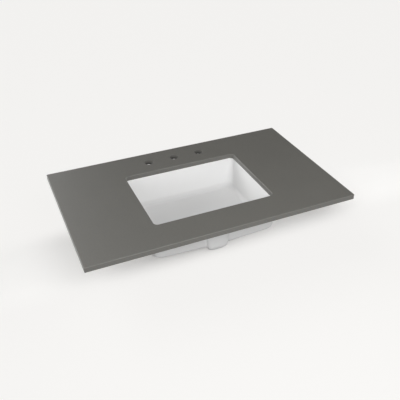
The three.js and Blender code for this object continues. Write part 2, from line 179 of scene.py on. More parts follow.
class VanityBasinSizes(bpy.types.PropertyGroup):
    """Sizes of the basin that its solid's box doesn't give."""
    flange_width: length("Flange Width", "From the bowl's mouth out to the flange's edge", 0.032)
    flange_thickness: length("Flange Thickness", "Thickness of the flange", 0.011)
    flange_edge: length("Flange Edge", "Radius of the flange's edges", 0.002)
    flange_foot: length("Flange Fillet", "Fillet between the flange and the bowl's outside", 0.007)
    mouth_corner: length("Mouth Corner", "Upright corner radius at the mouth", 0.020)
    lip: length("Lip Radius", "Rounding of the rim's inner edge", 0.003)
    wall: length("Wall Thickness", "Thickness of the walls at the mouth", 0.012)
    wall_lean: length("Wall Lean", "How far the inner walls draw in by their foot", 0.008)
    wall_corner: length("Wall Corner", "Upright corner radius at the foot of the inner walls", 0.032)
    bowl_foot: length("Bowl Foot Radius", "Radius where the inner walls meet the floor", 0.018)
    bowl_foot_corner: length("Bowl Foot Corner", "Corner radius in plan where that one ends", 0.042)
    outside_lean: length("Outside Lean", "How far the outer walls draw in by their foot", 0.001)
    outside_corner: length("Outside Corner", "Upright corner radius at the foot of the outer walls", 0.026)
    outside_foot: length("Outside Foot Radius", "Radius where the outer walls meet the underside", 0.015)
    outside_foot_corner: length("Outside Foot Corner", "Corner radius in plan where that one ends", 0.034)
    floor_level: length("Floor Level", "Height of the floor at the outlet, above the outlet's foot", 0.042)
    floor_thickness: length("Floor Thickness", "Thickness of the floor at the outlet", 0.016)
    floor_fall: share("Floor Fall", "Slope of the floor towards the outlet", 0.04)
    underside_fall: share("Underside Fall", "Slope of the underside towards the outlet", 0.08)
    outlet: length("Outlet Diameter", "Bore of the outlet", 0.045)
    seat: length("Outlet Seat Diameter", "Recess round the outlet for the waste's flange", 0.066)
    seat_depth: length("Outlet Seat Depth", "Depth of that recess", 0.003)
    bore_edge: length("Bore Edge", "Rounding of the bore's two edges", 0.0014)
    boss: length("Boss Diameter", "Outside of the outlet's boss", 0.082)
    boss_foot: length("Boss Fillet", "Fillet between the boss and the underside", 0.006)
    boss_edge: length("Boss Edge", "Rounding of the boss's lower edge", 0.002)
    channel: length("Channel Width", "Width of the overflow channel under the flange", 0.081)
    channel_foot: length("Channel Foot Width", "Width where the channel turns under the floor", 0.0783)
    channel_under: length("Channel Floor Width", "Width where the channel leaves that turn", 0.0647)
    channel_outlet: length("Channel End Width", "Width of the channel at the outlet", 0.062)
    channel_height: length("Channel Height", "How far the channel stands out from the wall", 0.016)
    channel_root: length("Channel Fillet", "Fillet between the channel and the wall", 0.004)
    channel_power: number("Channel Fullness", "Power of the superellipse of the channel's section", 2.857,
                          min=2, max=6)
    passage: length("Passage Width", "Width of the passage inside the channel", 0.056)
    passage_outlet: length("Passage End Width", "Width of the passage at the outlet", 0.034)
    passage_height: length("Passage Height", "Depth of the passage", 0.0085)
    passage_top: length("Passage Top", "From the flange's top down to the passage's end", 0.020)
    slot_length: length("Slot Length", "Length of the overflow slot", 0.040)
    slot_height: length("Slot Height", "Height of the overflow slot", 0.012)
    slot_drop: length("Slot Drop", "From the rim down to the middle of the overflow slot", 0.034)
    slot_edge: length("Slot Edge", "Rounding of the slot's edge", 0.002)


class VanityFixingSizes(bpy.types.PropertyGroup):
    """Sizes of the sealant and of the clips, studs, nuts, washers and inserts."""
    bead_setback: length("Sealant Setback", "From the bowl's mouth out to the sealant", 0.001)
    bead_tooling: length("Sealant Hollow", "Depth of the tooled hollow in the sealant's inner face", 0.0005)
    bead_swell: length("Sealant Swell", "How far the middle of its hidden side stands out", 0.0006)
    thread_pitch: length("Thread Pitch", "Pitch of the studs' thread", 0.001)
    thread_depth: length("Thread Depth", "Depth of the studs' thread", 0.00055)
    stud_chamfer: length("Stud Chamfer", "Chamfer at the ends of a stud", 0.0008)
    bore: length("Nut and Insert Bore", "Bore of the nuts, washers and inserts", 0.0067)
    small_edge: length("Small Edge", "Rounding of the small parts' edges", 0.0004)
    insert_rib: length("Knurl Depth", "Depth of the inserts' knurl", 0.0005)
    clip_strip: length("Clip Strip", "Thickness of the clips' strip", 0.0025)
    clip_bend: length("Clip Bend", "Inner radius of the clips' bend", 0.0012)
    clip_corner: length("Clip Corner", "Radius of the clips' corners", 0.003)
    clip_slot: length("Clip Slot", "Length of the slot in a clip", 0.014)
    clip_edge: length("Clip Edge", "Rounding of the clips' edges", 0.0003)
    nut_base: length("Nut Base", "Diameter of a wing nut's wide end", 0.012)
    nut_end: length("Nut End", "Diameter of a wing nut's narrow end", 0.009)
    nut_height: length("Nut Height", "Height of a wing nut's hub", 0.007)
    nut_collar: length("Nut Collar", "Height of the hub's straight end", 0.00245)
    wing_thickness: length("Wing Thickness", "Thickness of a wing", 0.0024)
    wing_root: length("Wing Root", "Distance from the axis to where a wing starts", 0.0039)
    wing_lift: length("Wing Lift", "How far above the hub's narrow end a wing starts", 0.0015)
    wing_slope: share("Wing Slope", "Share of the nut's height that a wing's upper edge drops", 0.16)
    wing_taper: share("Wing Taper", "Share of its thickness that a wing loses by its tip", 0.15)


class VanityColours(bpy.types.PropertyGroup):
    """Colours of the finishes, as linear values."""
    stone: colour("Stone", "Ground colour of the stone", (0.120, 0.117, 0.106))
    stone_dark: colour("Dark Grain", "Dark grains of the stone", (0.080, 0.078, 0.071))
    # The pale grains, and also the painted highlight on the upper edges' ease
    pale_grain_and_edge_highlight: colour("Pale Grain and Edge Highlight", "Pale grains of the stone", (0.178, 0.174, 0.160))
    # Painted shade that darkens the tap holes' walls towards their foot
    painted_hole_shade: colour("Painted Hole Shade", "Foot of the tap holes' walls", (0.030, 0.029, 0.027))
    china: colour("China", "Glazed china", (0.745, 0.745, 0.743))
    # Painted shade at the foot of the bowl's back wall
    china_painted_shade: colour("Painted Foot Shade", "China with painted shade at the back wall's foot", (0.640, 0.640, 0.638))
    biscuit: colour("Biscuit", "Bare fired clay at the outlet's foot", (0.760, 0.720, 0.650))
    sealant: colour("Sealant", "Cured silicone", (0.800, 0.800, 0.785))
    zinc: colour("Zinc Plate", "Plated steel", (0.560, 0.575, 0.590))
    zinc_dull: colour("Dull Zinc", "Duller patches of the plate", (0.400, 0.410, 0.420))
    brass: colour("Brass", "Turned brass", (0.640, 0.470, 0.200))
    brass_tarnish: colour("Tarnished Brass", "Tarnished patches of the brass", (0.340, 0.220, 0.090))
    floor: colour("Floor", "Studio floor, as it is seen", (0.977, 0.968, 0.951))
    backdrop: colour("Backdrop", "Studio backdrop", (0.905, 0.896, 0.880))
    floor_bounce: colour("Floor Bounce", "What the floor throws back on the object", (0.165, 0.163, 0.160))
    ceiling: colour("Ceiling", "What smooth faces mirror from above the backdrop", (0.020, 0.020, 0.020))


class VanityStudio(bpy.types.PropertyGroup):
    """The camera's place, the softbox, the light from all round, the floor and the backdrop. The far lamps'
    values are added below."""
    camera_x: number("Camera X", "Camera's place along the slab", -0.63953, unit="LENGTH")
    camera_y: number("Camera Y", "Camera's place towards the wall", -1.47664, unit="LENGTH")
    camera_z: number("Camera Z", "Camera's height above the floor", 1.20172, unit="LENGTH")
    camera_heading: angle("Camera Heading", "Turn of the view from +Y towards +X", 23.90)
    camera_pitch: angle("Camera Pitch", "Tilt of the view below the horizon", 34.01)
    focal_length: number("Focal Length", "Focal length in millimetres", 48.65)
    sensor_width: number("Sensor Width", "Sensor width in millimetres", 36)
    key_heading: angle("Key Heading", "Turn from +Y towards +X to the softbox at the front", 180)
    key_height: angle("Key Height", "Height of the softbox above the horizon", 40)
    key_width: length("Key Width", "Diameter of the softbox", 1.3)
    key_distance: length("Key Distance", "From the slab's middle to the softbox", 1.6)
    key_strength: strength("Key Strength", "Strength of the softbox", 18.0)
    sky_strength: strength("Sky Strength", "Light from all round", 0.01)
    backdrop_height: angle("Backdrop Height", "How high the pale backdrop reaches above the horizon", 10)
    floor_own_white: share("Floor's Own White", "Share of the far floor that no shadow touches", 0.92)
    shade_own_white: share("Shade's Own White", "The same share right under the object", 0.24)
    shade_start: share("Shade Start", "Share of the shade's reach that has that white all over", 0.49)
    shade_reach_x: length("Shade Reach X", "How far along the slab shadows show on the floor", 2.0)
    shade_reach_y: length("Shade Reach Y", "How far towards the wall shadows show on the floor", 0.21)
    floor_reach: length("Floor Reach", "Half the width of the studio's floor", 30)


# The far lamps: where each stands, its heading and height in degrees, its strength, and whether smooth
# faces mirror it
FAR_LAMPS = {
    "glow": ("behind", -20, 24, 1.7, True),
    "side": ("at the front left", -135, 22, 0.96, False),
    "low": ("low at the front", 180, 14, 0.46, False),
    "rear": ("at the back left", -45, 36, 1.25, False),
    "right": ("at the right", 90, 14, 1.42, False),
}
FAR_LAMP_WIDTH = 40


def lamp_settings(name, place, heading, height, power):
    """The properties of one far lamp."""
    title = name.title()
    turn = f"Turn from +Y towards +X to the light {place}"
    return {
        f"{name}_heading": angle(f"{title} Heading", turn, heading),
        f"{name}_height": angle(f"{title} Height", "Height of that light above the horizon", height),
        f"{name}_width": angle(f"{title} Width", "How wide that light looks", FAR_LAMP_WIDTH),
        f"{name}_strength": strength(f"{title} Strength", "Strength of that light", power),
    }


for lamp_name, (*lamp_values, _) in FAR_LAMPS.items():
    VanityStudio.__annotations__.update(lamp_settings(lamp_name, *lamp_values))


def mouth(sizes):
    """The bowl's mouth in plan: its middle, half its length and half its depth, all inside the flange."""
    middle = np.array((0, (BASIN_HIGH.y + BASIN_LOW.y) / 2))
    half_depth = (BASIN_HIGH.y - BASIN_LOW.y) / 2 - sizes.flange_width
    return middle, BASIN_HIGH.x - sizes.flange_width, half_depth


def round_box(node):
    """The low and high corners of a node's box, and its middle and half its length in plan."""
    low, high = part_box(node)
    return low, high, np.array(((low + high) / 2).xy), (high.x - low.x) / 2


def shares(steps):
    """Even shares from 0 to 1."""
    return np.arange(steps + 1) / steps


def grid_faces(rows, columns, rows_close=False, columns_close=True):
    """Quads between neighbouring rows and columns of a grid whose points are numbered row by row."""
    row = np.arange(rows if rows_close else rows - 1)[:, None]
    column = np.arange(columns if columns_close else columns - 1)[None, :]
    next_row = (row + 1) % rows
    next_column = (column + 1) % columns
    corners = (row * columns + column, row * columns + next_column,
               next_row * columns + next_column, next_row * columns + column)
    return np.stack(corners, axis=-1).reshape(-1, 4)


def grid_part(x, y, z, rows_close=False, columns_close=True):
    """Points and quads of a grid from its coordinates, each an array of rows and columns."""
    points = np.stack(np.broadcast_arrays(x, y, z), axis=-1)
    rows, columns = points.shape[:2]
    return points.reshape(-1, 3), grid_faces(rows, columns, rows_close, columns_close)


def closed_run(x, y, z):
    """A grid of closed rings with a flat end at its first and its last ring, each a fan from its middle."""
    def capped(value):
        value = np.broadcast_to(value, x.shape)
        first = np.broadcast_to(value[:1].mean(), (1, value.shape[1]))
        last = np.broadcast_to(value[-1:].mean(), (1, value.shape[1]))
        return np.concatenate((first, value, last))
    return grid_part(capped(x), capped(y), capped(z))


def made_mesh(name, parts):
    """One mesh from parts of points and faces, welded where they meet, its faces turned outwards."""
    starts = np.cumsum([0] + [len(points) for points, _ in parts])
    faces = []
    for start, (_, part_faces) in zip(starts, parts):
        faces.extend((part_faces + start).tolist())
    mesh = bpy.data.meshes.new(name)
    mesh.from_pydata(np.concatenate([points for points, _ in parts]).tolist(), [], faces)
    shaped = bmesh.new()
    shaped.from_mesh(mesh)
    bmesh.ops.remove_doubles(shaped, verts=shaped.verts, dist=WELD_DISTANCE)
    bmesh.ops.recalc_face_normals(shaped, faces=shaped.faces)
    shaped.to_mesh(mesh)
    shaped.free()
    return mesh


def made_object(name, parts):
    """A new object of those parts, linked to the scene."""
    made = bpy.data.objects.new(name, made_mesh(name, parts))
    bpy.context.scene.collection.objects.link(made)
    return made


def combined(base, others, operation):
    """The base object joined with, or cut by, the others, which are then removed."""
    for other in others:
        step = base.modifiers.new(other.name, "BOOLEAN")
        step.operation = operation
        step.solver = "MANIFOLD"
        step.object = other
    result = base.evaluated_get(bpy.context.evaluated_depsgraph_get())
    mesh = bpy.data.meshes.new_from_object(result)
    if not mesh.polygons:
        raise RuntimeError(f"{base.name} came out empty")
    base.modifiers.clear()
    base.data = mesh
    for other in others:
        bpy.data.objects.remove(other)
    return base


def finished(piece, node, slot):
    """Smooth faces, sharp edges, even normals and a finish; the piece rides and stands for its node."""
    piece.data.shade_smooth()
    piece.data.set_sharp_from_angle(angle=SHARP_ANGLE)
    even = piece.modifiers.new("even normals", "WEIGHTED_NORMAL")
    even.keep_sharp = True
    piece.data.materials.clear()
    piece.data.materials.append(finish_of(slot))
    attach(piece, BODY)
    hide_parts(node)


def rounded_rectangle(half_length, half_depth, radius, steps):
    """Outline of a rectangle with round corners: each corner's arc turns a quarter about its centre."""
    corner = np.arange(4)[:, None]
    turn = (corner + shares(steps)) * QUARTER
    side_x = np.array([1, -1, -1, 1])[:, None]
    side_y = np.array([1, 1, -1, -1])[:, None]
    x = side_x * (half_length - radius) + radius * np.cos(turn)
    y = side_y * (half_depth - radius) + radius * np.sin(turn)
    return np.stack((x.ravel(), y.ravel()), axis=1)


def grown_rectangles(half_length, half_depth, radius, growths):
    """The outlines of a rectangle with round corners as it grows outwards, one for each growth."""
    return np.stack([rounded_rectangle(half_length + growth, half_depth + growth, radius + growth,
                                       CORNER_STEPS) for growth in growths])


def circle(radius, steps):
    """Outline of a circle about the origin, its points at even angles."""
    turn = shares(steps)[:-1] * FULL_TURN
    return radius * np.stack((np.cos(turn), np.sin(turn)), axis=1)


def in_outline(points, outline):
    """Which points lie inside a convex outline: never to the right of one of its edges."""
    along = np.roll(outline, -1, axis=0) - outline
    to_point = points[:, None, :] - outline[None, :, :]
    turned = along[None, :, 0] * to_point[:, :, 1] - along[None, :, 1] * to_point[:, :, 0]
    return (turned >= 0).all(axis=1)


def flat_face(outlines, level, crossings=()):
    """A flat face inside the first outline and outside the others: constrained Delaunay triangles between
    all their points, less those whose middle lies in a hole."""
    starts = np.cumsum([0] + [len(outline) for outline in outlines[:-1]])
    edges = list(crossings)
    for start, outline in zip(starts, outlines):
        index = np.arange(len(outline))
        edges.extend(np.stack((start + index, start + (index + 1) % len(outline)), axis=1).tolist())
    corners = list(map(Vector, np.concatenate(outlines).tolist()))
    found = delaunay_2d_cdt(corners, edges, [], 1, WELD_DISTANCE)
    points = np.array(found[0])
    faces = np.array(found[2])
    middles = points[faces].mean(axis=1)
    solid = ~np.any([in_outline(middles, hole) for hole in outlines[1:]], axis=0)
    points = np.column_stack((points, np.full(len(points), level)))
    return points, faces[solid]


def plate(edges, low, high, blind_holes=(), blind_level=0, crossings=()):
    """Parts of a flat plate. Each edge is a function from how far the material grows to an outline, with
    its lower and its upper radius. The walls rise from the lower to the upper level and turn in through a
    quarter circle at both."""
    turn = shares(EASE_STEPS) * QUARTER
    opening = 1 - np.sin(turn)
    closing = 1 - np.cos(turn)
    parts = []
    for edge, ease_low, ease_high in edges:
        growths = np.concatenate((-ease_low * opening, -ease_high * closing))
        levels = np.concatenate((low + ease_low * closing, high - ease_high * opening))
        outline = np.stack([edge(growth) for growth in growths])
        parts.append(grid_part(outline[:, :, 0], outline[:, :, 1], levels[:, None]))
    parts.append(flat_face([edge(-ease_high) for edge, _, ease_high in edges], high, crossings))
    lower = [edge(-ease_low) for edge, ease_low, _ in edges] + list(blind_holes)
    parts.append(flat_face(lower, low, crossings))
    for outline in blind_holes:
        centre = outline.mean(axis=0)
        rows = np.stack((outline, outline, np.broadcast_to(centre, outline.shape)))
        rises = np.array([low, blind_level, blind_level])[:, None]
        parts.append(grid_part(rows[:, :, 0], rows[:, :, 1], rises))
    return parts


def rounded_profile(corners, radius):
    """A closed profile with its corners rounded: each is a parabola from a point before it to one after."""
    corners = np.asarray(corners, float)
    before = np.roll(corners, 1, axis=0) - corners
    after = np.roll(corners, -1, axis=0) - corners
    before_length = np.linalg.norm(before, axis=1, keepdims=True)
    after_length = np.linalg.norm(after, axis=1, keepdims=True)
    cut = np.minimum(radius, np.minimum(before_length, after_length) * ROUNDING_SHARE)
    start = corners + before / before_length * cut
    end = corners + after / after_length * cut
    along = shares(CORNER_ROUNDING_STEPS)[None, :, None]
    curve = (start[:, None] * (1 - along) ** 2 + 2 * corners[:, None] * along * (1 - along)
             + end[:, None] * along ** 2)
    return curve.reshape(-1, 2)


def revolved(profile, centre, ripple=0):
    """A closed profile of radius and height carried round an upright axis. A ripple, an array of profile
    points by columns, is taken off the radius."""
    turn = shares(ROUND_STEPS)[:-1] * FULL_TURN
    radius = profile[:, :1] - ripple
    x = centre[0] + radius * np.cos(turn)
    y = centre[1] + radius * np.sin(turn)
    return grid_part(x, y, profile[:, 1:], rows_close=True)


class SocketValue:
    """The output of a node. Arithmetic with a number or another output adds a Math node."""

    def __init__(self, finish, socket):
        self.finish = finish
        self.socket = socket

    def math(self, operation, first, second=0):
        """A Math node with its values."""
        return self.finish.node("ShaderNodeMath", {"operation": operation}, {0: first, 1: second})

    def __add__(self, other):
        return self.math("ADD", self, other)

    def __sub__(self, other):
        return self.math("SUBTRACT", self, other)

    def __rsub__(self, other):
        return self.math("SUBTRACT", other, self)

    def __mul__(self, other):
        return self.math("MULTIPLY", self, other)

    def __abs__(self):
        return self.math("ABSOLUTE", self)

    __radd__ = __add__
    __rmul__ = __mul__

    def other(self, name):
        """Another output of the same node."""
        return SocketValue(self.finish, self.socket.node.outputs[name])

    def above(self, low, high):
        """0 below the low value and 1 above the high one, smooth between."""
        return self.finish.node("ShaderNodeMapRange", {"interpolation_type": "SMOOTHSTEP"},
                                {"Value": self, "From Min": low, "From Max": high})


class Finish:
    """The node tree of a material or a world, with one method for every kind of node."""

    def __init__(self, owner):
        owner.use_nodes = True
        self.owner = owner
        self.tree = owner.node_tree
        self.tree.nodes.clear()

    def node(self, kind, settings=None, sockets=None, output=0):
        """A new node: its settings are set first, then the values or links of its sockets. A colour has
        three values, and its alpha is full."""
        made = self.tree.nodes.new(kind)
        for setting, value in (settings or {}).items():
            setattr(made, setting, value)
        for socket, value in (sockets or {}).items():
            target = made.inputs[socket]
            if isinstance(value, SocketValue):
                self.tree.links.new(value.socket, target)
            else:
                target.default_value = (*value, 1) if target.type == "RGBA" else value
        return SocketValue(self, made.outputs[output]) if len(made.outputs) else None

    def place(self):
        """Object coordinates, which for every piece are the frame's own."""
        return self.node("ShaderNodeTexCoord", output="Object")

    def axes(self, vector):
        """The X, the Y and the Z of a vector."""
        x = self.node("ShaderNodeSeparateXYZ", None, {0: vector})
        return x, x.other("Y"), x.other("Z")

    def scaled_length(self, vector, scales):
        """The length of a vector once each of its axes is multiplied by its scale."""
        scaled = self.node("ShaderNodeVectorMath", {"operation": "MULTIPLY"}, {0: vector, 1: scales})
        return self.node("ShaderNodeVectorMath", {"operation": "LENGTH"}, {0: scaled}, output="Value")

    def noise(self, place, per_metre, detail=2):
        """Cloudy noise from 0 to 1 with so many waves to the metre."""
        return self.node("ShaderNodeTexNoise", None,
                         {"Vector": place, "Scale": per_metre, "Detail": detail})

    def cells(self, place, per_metre):
        """A random value for each grain, with so many grains to the metre."""
        colours = self.node("ShaderNodeTexVoronoi", None, {"Vector": place, "Scale": per_metre},
                            output="Color")
        return self.node("ShaderNodeSeparateColor", None, {0: colours})

    def mixed(self, factor, first, second, most=1):
        """The first colour, turning into the second, or into a share of it, as the factor goes to 1."""
        if most != 1:
            factor = factor * most
        return self.node("ShaderNodeMix", {"data_type": "RGBA"},
                         {0: factor, MIX_FIRST: first, MIX_SECOND: second}, output=MIX_RESULT)

    def relief(self, height, depth):
        """A normal from a height that goes from 0 to 1 over so many metres."""
        return self.node("ShaderNodeBump", None, {"Strength": 1, "Distance": depth, "Height": height})

    def principled(self, sockets):
        """A Principled shader."""
        return self.node("ShaderNodeBsdfPrincipled", None, sockets)

    def surface(self, shader):
        """The material, with that shader as its surface."""
        self.node("ShaderNodeOutputMaterial", None, {"Surface": shader})
        return self.owner

    def blended(self, factor, first, second):
        """The first shader, giving way to the second as the factor goes to 1."""
        return self.node("ShaderNodeMixShader", None, {0: factor, 1: first, 2: second})

    def looked_at(self):
        """1 for a ray from the camera, off a glossy face or through a clear one, and 0 for any other."""
        camera = self.node("ShaderNodeLightPath", output="Is Camera Ray")
        return camera + camera.other("Is Glossy Ray") + camera.other("Is Transmission Ray")


def near_tap(x, y, sizes):
    """The square of the distance to the nearest tap hole's axis, as a share of the square of its radius."""
    spacing = sizes.tap_spacing
    radius = sizes.tap_diameter / 2
    nearest = x.math("SNAP", x + spacing / 2, spacing)
    nearest = x.math("MINIMUM", x.math("MAXIMUM", nearest, -spacing), spacing)
    across = x - nearest
    forward = y - (STONE_HIGH.y - sizes.tap_from_back)
    return (across * across + forward * forward) * (1 / radius ** 2)


def stone_finish(finish, scene):
    """Honed stone: grains about a millimetre wide in three tones, a slow drift in tone, fine relief, a
    painted highlight as a paler line on the upper edges' ease, and painted shade that darkens the tap holes'
    walls downwards."""
    colours = scene.vanity_colours
    sizes = scene.vanity_stone
    place = finish.place()
    x, y, height = finish.axes(place)
    top = STONE_HIGH.z
    # Painted highlight: a paler band on the upper edges' ease
    highlight_from, highlight_to = (top - sizes.edge_ease * part for part in EDGE_HIGHLIGHT_SHARES)
    painted_edge_highlight = height.above(top - sizes.edge_ease, highlight_from) * (1 - height.above(highlight_to, top))
    # Painted shade: the tap holes' walls darken downwards
    all_dark, none_dark = (top - (top - STONE_LOW.z) * part for part in HOLE_SHADE_SHARES)
    painted_hole_shade = (1 - near_tap(x, y, sizes).above(1, TAP_RIM_SHARE)) * (1 - height.above(all_dark, none_dark))
    grain = finish.cells(place, per_metre=900)
    drift = finish.noise(place, per_metre=6, detail=3)
    speck = finish.noise(place, per_metre=420, detail=3)
    dark = grain.above(low=0.55, high=0.9) * speck.above(low=0.42, high=0.6)
    pale = (1 - grain.above(low=0.05, high=0.18)) * speck.above(low=0.5, high=0.68)
    tone = finish.mixed(dark, colours.stone, colours.stone_dark, most=0.55)
    tone = finish.mixed(pale, tone, colours.pale_grain_and_edge_highlight, most=0.6)
    tone = finish.mixed(drift.above(low=0.35, high=0.65), tone, colours.stone_dark, most=0.1)
    # The painted highlight on the edges' ease
    tone = finish.mixed(painted_edge_highlight, tone, colours.pale_grain_and_edge_highlight, most=0.8)
    return finish.surface(finish.principled({
        # The painted shade in the tap holes
        "Base Color": finish.mixed(painted_hole_shade, tone, colours.painted_hole_shade),
        "Roughness": 0.36 + drift * 0.05 + speck * 0.06,
        "Specular IOR Level": 0.8,
        "Normal": finish.relief(speck * 0.6 + grain * 0.4, depth=0.00003),
    }))


def painted_foot_shade(finish, place, sizes):
    """Mask of painted shade: 1 on the turn from the bowl's back wall to its floor, by the height over the
    floor's cone inside the mouth's plan, and 0 elsewhere."""
    x, y, height = finish.axes(place)
    middle, half_length, half_depth = mouth(sizes)
    from_outlet = finish.scaled_length(place, (1, 1, 0))
    over_floor = height - (sizes.floor_level + (from_outlet - sizes.seat / 2) * sizes.floor_fall)
    full_from, full_to, gone = (sizes.bowl_foot * part for part in FOOT_SHADE_SHARES)
    foot_shade_mask = over_floor.above(0, full_from) * (1 - over_floor.above(full_to, gone))
    for away, reach in ((abs(x - middle[0]), half_length), (abs(y - middle[1]), half_depth)):
        foot_shade_mask = foot_shade_mask * (1 - away.above(reach, reach + sizes.wall / 2))
    start, full = (half_depth * part for part in FOOT_SHADE_BACK_SHARES)
    return foot_shade_mask * (y - middle[1]).above(start, full)


def china_finish(finish, scene):
    """Glazed china: a slow ripple in the glaze, faint drift in tone, painted shade at the foot of the bowl's
    back wall, and bare clay at the outlet's foot."""
    colours = scene.vanity_colours
    place = finish.place()
    height = finish.axes(place)[2]
    bare_to, glazed_from = (BASIN_LOW.z + level for level in BARE_CLAY)
    bare = 1 - height.above(bare_to, glazed_from)
    ripple = finish.noise(place, per_metre=45)
    clay = finish.noise(place, per_metre=900, detail=3)
    tone = finish.noise(place, per_metre=9)
    glaze = finish.mixed(tone.above(low=0.3, high=0.7), colours.china, colours.biscuit, most=0.02)
    # Painted shade at the foot of the back wall
    glaze = finish.mixed(painted_foot_shade(finish, place, scene.vanity_basin), glaze, colours.china_painted_shade)
    return finish.surface(finish.principled({
        "Base Color": finish.mixed(bare, glaze, colours.biscuit),
        "Roughness": 0.38 + ripple * 0.06 + bare * 0.3,
        "Specular IOR Level": 0.25,
        "Normal": finish.relief(ripple + bare * clay * 0.3, depth=0.00006),
    }))


def sealant_finish(finish, scene):
    """Cured silicone: satin, faintly uneven in tone, with fine marks of the tool that smoothed it."""
    colours = scene.vanity_colours
    place = finish.place()
    drag = finish.noise(place, per_metre=300)
    tone = finish.noise(place, per_metre=25)
    return finish.surface(finish.principled({
        "Base Color": finish.mixed(tone, colours.sealant, colours.biscuit, most=0.08),
        "Roughness": 0.34 + drag * 0.12,
        "Normal": finish.relief(drag, depth=0.00004),
    }))


def plated_finish(finish, scene):
    """Zinc plate on steel: a fine crystal mottle and dull patches, both with a faint relief."""
    colours = scene.vanity_colours
    place = finish.place()
    crystals = finish.cells(place, per_metre=700)
    patches = finish.noise(place, per_metre=120, detail=3)
    dull = patches.above(low=0.4, high=0.7)
    return finish.surface(finish.principled({
        "Base Color": finish.mixed(dull * 0.35 + crystals * 0.1, colours.zinc, colours.zinc_dull),
        "Metallic": 1,
        "Roughness": 0.26 + dull * 0.16 + crystals * 0.05,
        "Normal": finish.relief(patches + crystals * 0.2, depth=0.00003),
    }))


def brass_finish(finish, scene):
    """Turned brass: fine rings from the lathe and a little tarnish."""
    colours = scene.vanity_colours
    place = finish.place()
    height = finish.axes(place)[2]
    rings_per_metre = 4000
    rings = finish.node("ShaderNodeTexNoise", {"noise_dimensions": "1D"},
                        {"W": height, "Scale": rings_per_metre})
    patches = finish.noise(place, per_metre=250, detail=3)
    tarnished = patches.above(low=0.45, high=0.75)
    return finish.surface(finish.principled({
        "Base Color": finish.mixed(tarnished, colours.brass, colours.brass_tarnish, most=0.5),
        "Metallic": 1,
        "Roughness": 0.26 + patches * 0.2,
        "Normal": finish.relief(rings, depth=0.00003),
    }))


def floor_finish(finish, scene):
    """A plain matt studio floor. A ray that looks at it finds its pale colour, which gives way to the
    backdrop's even white away from the object; the floor throws less than that back on the object."""
    colours = scene.vanity_colours
    studio = scene.vanity_studio
    looked_at = finish.looked_at()
    place = finish.place()
    fine = finish.noise(place, per_metre=60)
    away = finish.scaled_length(place, (1 / studio.shade_reach_x, 1 / studio.shade_reach_y, 1))
    more_white = studio.floor_own_white - studio.shade_own_white
    own_white = studio.shade_own_white + away.above(studio.shade_start, 1) * more_white
    matt = finish.principled({
        "Base Color": finish.mixed(looked_at, colours.floor_bounce, colours.floor),
        "Roughness": 0.9 + fine * 0.05,
        "Specular IOR Level": 0,
    })
    white = finish.node("ShaderNodeEmission", None, {"Color": colours.backdrop, "Strength": 1})
    return finish.surface(finish.blended(looked_at * own_white, matt, white))


# The name of each slot's material and the function that makes it
FINISHES = {
    "stone": ("honed_stone", stone_finish),
    "china": ("glazed_china", china_finish),
    "sealant": ("silicone", sealant_finish),
    "plated_steel": ("zinc_plate", plated_finish),
    "brass": ("turned_brass", brass_finish),
    "floor": ("studio_floor", floor_finish),
}


def finish_of(slot):
    """The material of a slot, made when it is first asked for."""
    name, make = FINISHES[slot]
    made = bpy.data.materials.get(name)
    return made or make(Finish(bpy.data.materials.new(name)), bpy.context.scene)


class VANITY_OT_stone_slab(bpy.types.Operator):
    """Make the stone slab with its cut-out, tap holes and blind holes for the inserts"""
    bl_idname = "vanity.stone_slab"
    bl_label = "Stone Slab"

    def execute(self, context):
        sizes = context.scene.vanity_stone
        middle, mouth_length, mouth_depth = mouth(context.scene.vanity_basin)

        def outside(growth):
            return rounded_rectangle(STONE_HIGH.x + growth, STONE_HIGH.y + growth, sizes.corner + growth,
                                     SLAB_CORNER_STEPS)

        def cutout(growth):
            return middle + rounded_rectangle(mouth_length - growth, mouth_depth - growth,
                                              sizes.cutout_corner - growth, CUTOUT_CORNER_STEPS)

        def tap_hole(x):
            axis = np.array((x, STONE_HIGH.y - sizes.tap_from_back))
            return lambda growth: axis + circle(sizes.tap_diameter / 2 - growth, HOLE_STEPS)

        edges = [(edge, sizes.arris, sizes.edge_ease) for edge in (outside, cutout)]
        for x in (-sizes.tap_spacing, 0, sizes.tap_spacing):
            edges.append((tap_hole(x), sizes.tap_arris, sizes.tap_arris))
        blind_holes = []
        for place in CLIP_PLACES:
            _, high, axis, radius = round_box(f"insert_{place}")
            blind_holes.append(axis + circle(radius + sizes.insert_clearance, ROUND_STEPS))
        blind_level = high.z + sizes.insert_clearance
        parts = plate(edges, STONE_LOW.z, STONE_HIGH.z, blind_holes, blind_level)
        finished(made_object("stone_slab", parts), "stone_top", "stone")
        return {"FINISHED"}


def superellipse(turn, power):
    """Across and up to the points of a superellipse of size 1, at some polar angles."""
    reach = (np.abs(np.cos(turn)) ** power + np.abs(np.sin(turn)) ** power) ** (-1 / power)
    return np.cos(turn) * reach, np.sin(turn) * reach


